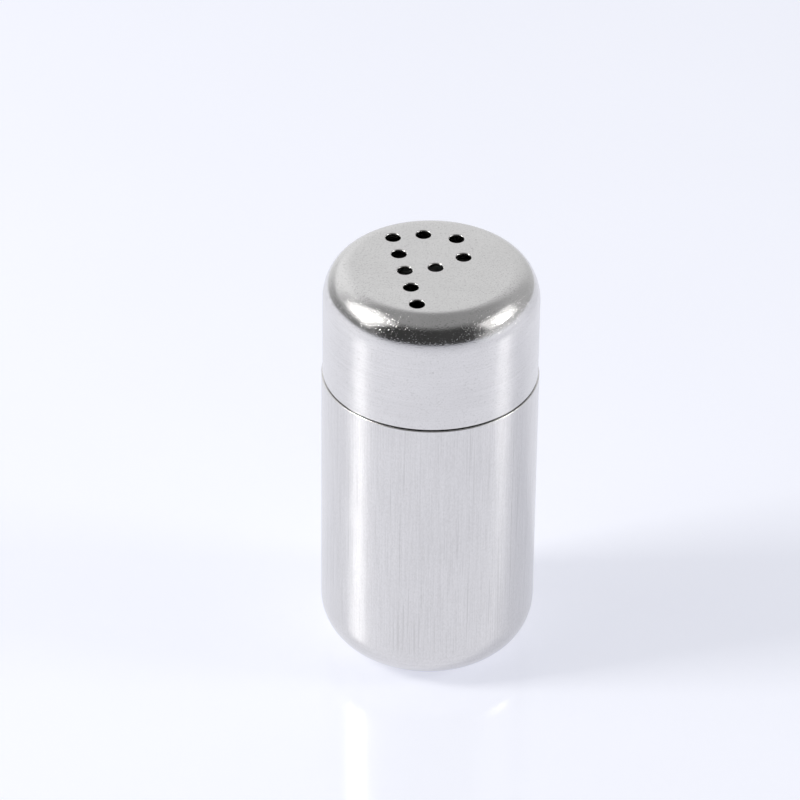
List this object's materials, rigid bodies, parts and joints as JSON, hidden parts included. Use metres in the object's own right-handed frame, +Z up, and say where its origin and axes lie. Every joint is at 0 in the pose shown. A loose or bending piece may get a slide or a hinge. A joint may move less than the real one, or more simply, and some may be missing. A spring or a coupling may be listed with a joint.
{
  "type": "pepper shaker",
  "caption": "Cylindrical stainless steel table shaker with rounded ends: a drawn can with an inner neck, and a lined push-on cap pierced with sprinkling holes.",
  "frame": {"origin": "centre of the base, on the surface that the shaker stands on", "axes": "+Z up along the can's axis; +Y towards the top of the letter that the sprinkling holes make, +X to its right"},
  "size_m": [0.04, 0.04, 0.0813],
  "materials": {
    "can_steel": "satin, with fine upright draw lines",
    "neck_steel": "bright rolled, lightly polished",
    "liner_plastic": "moulded, milky, satin",
    "cap_steel": "satin skirt and crown with a polished corner"
  },
  "bodies": {
    "can": {"can_body": "can_steel", "neck_sleeve": "neck_steel"},
    "liner": {"cap_liner": "liner_plastic"},
    "cap": {"cap_shell": "cap_steel"}
  },
  "joints": [
    {"name": "cap_pull", "type": "slide", "parent": "can", "child": "liner", "axis": [0, 0, 1], "range_m": [0, 0.04]},
    {"name": "cap_turn", "type": "hinge", "parent": "liner", "child": "cap", "pos_m": [0, 0, 0.0701], "axis": [0, 0, 1], "continuous": true}
  ]
}
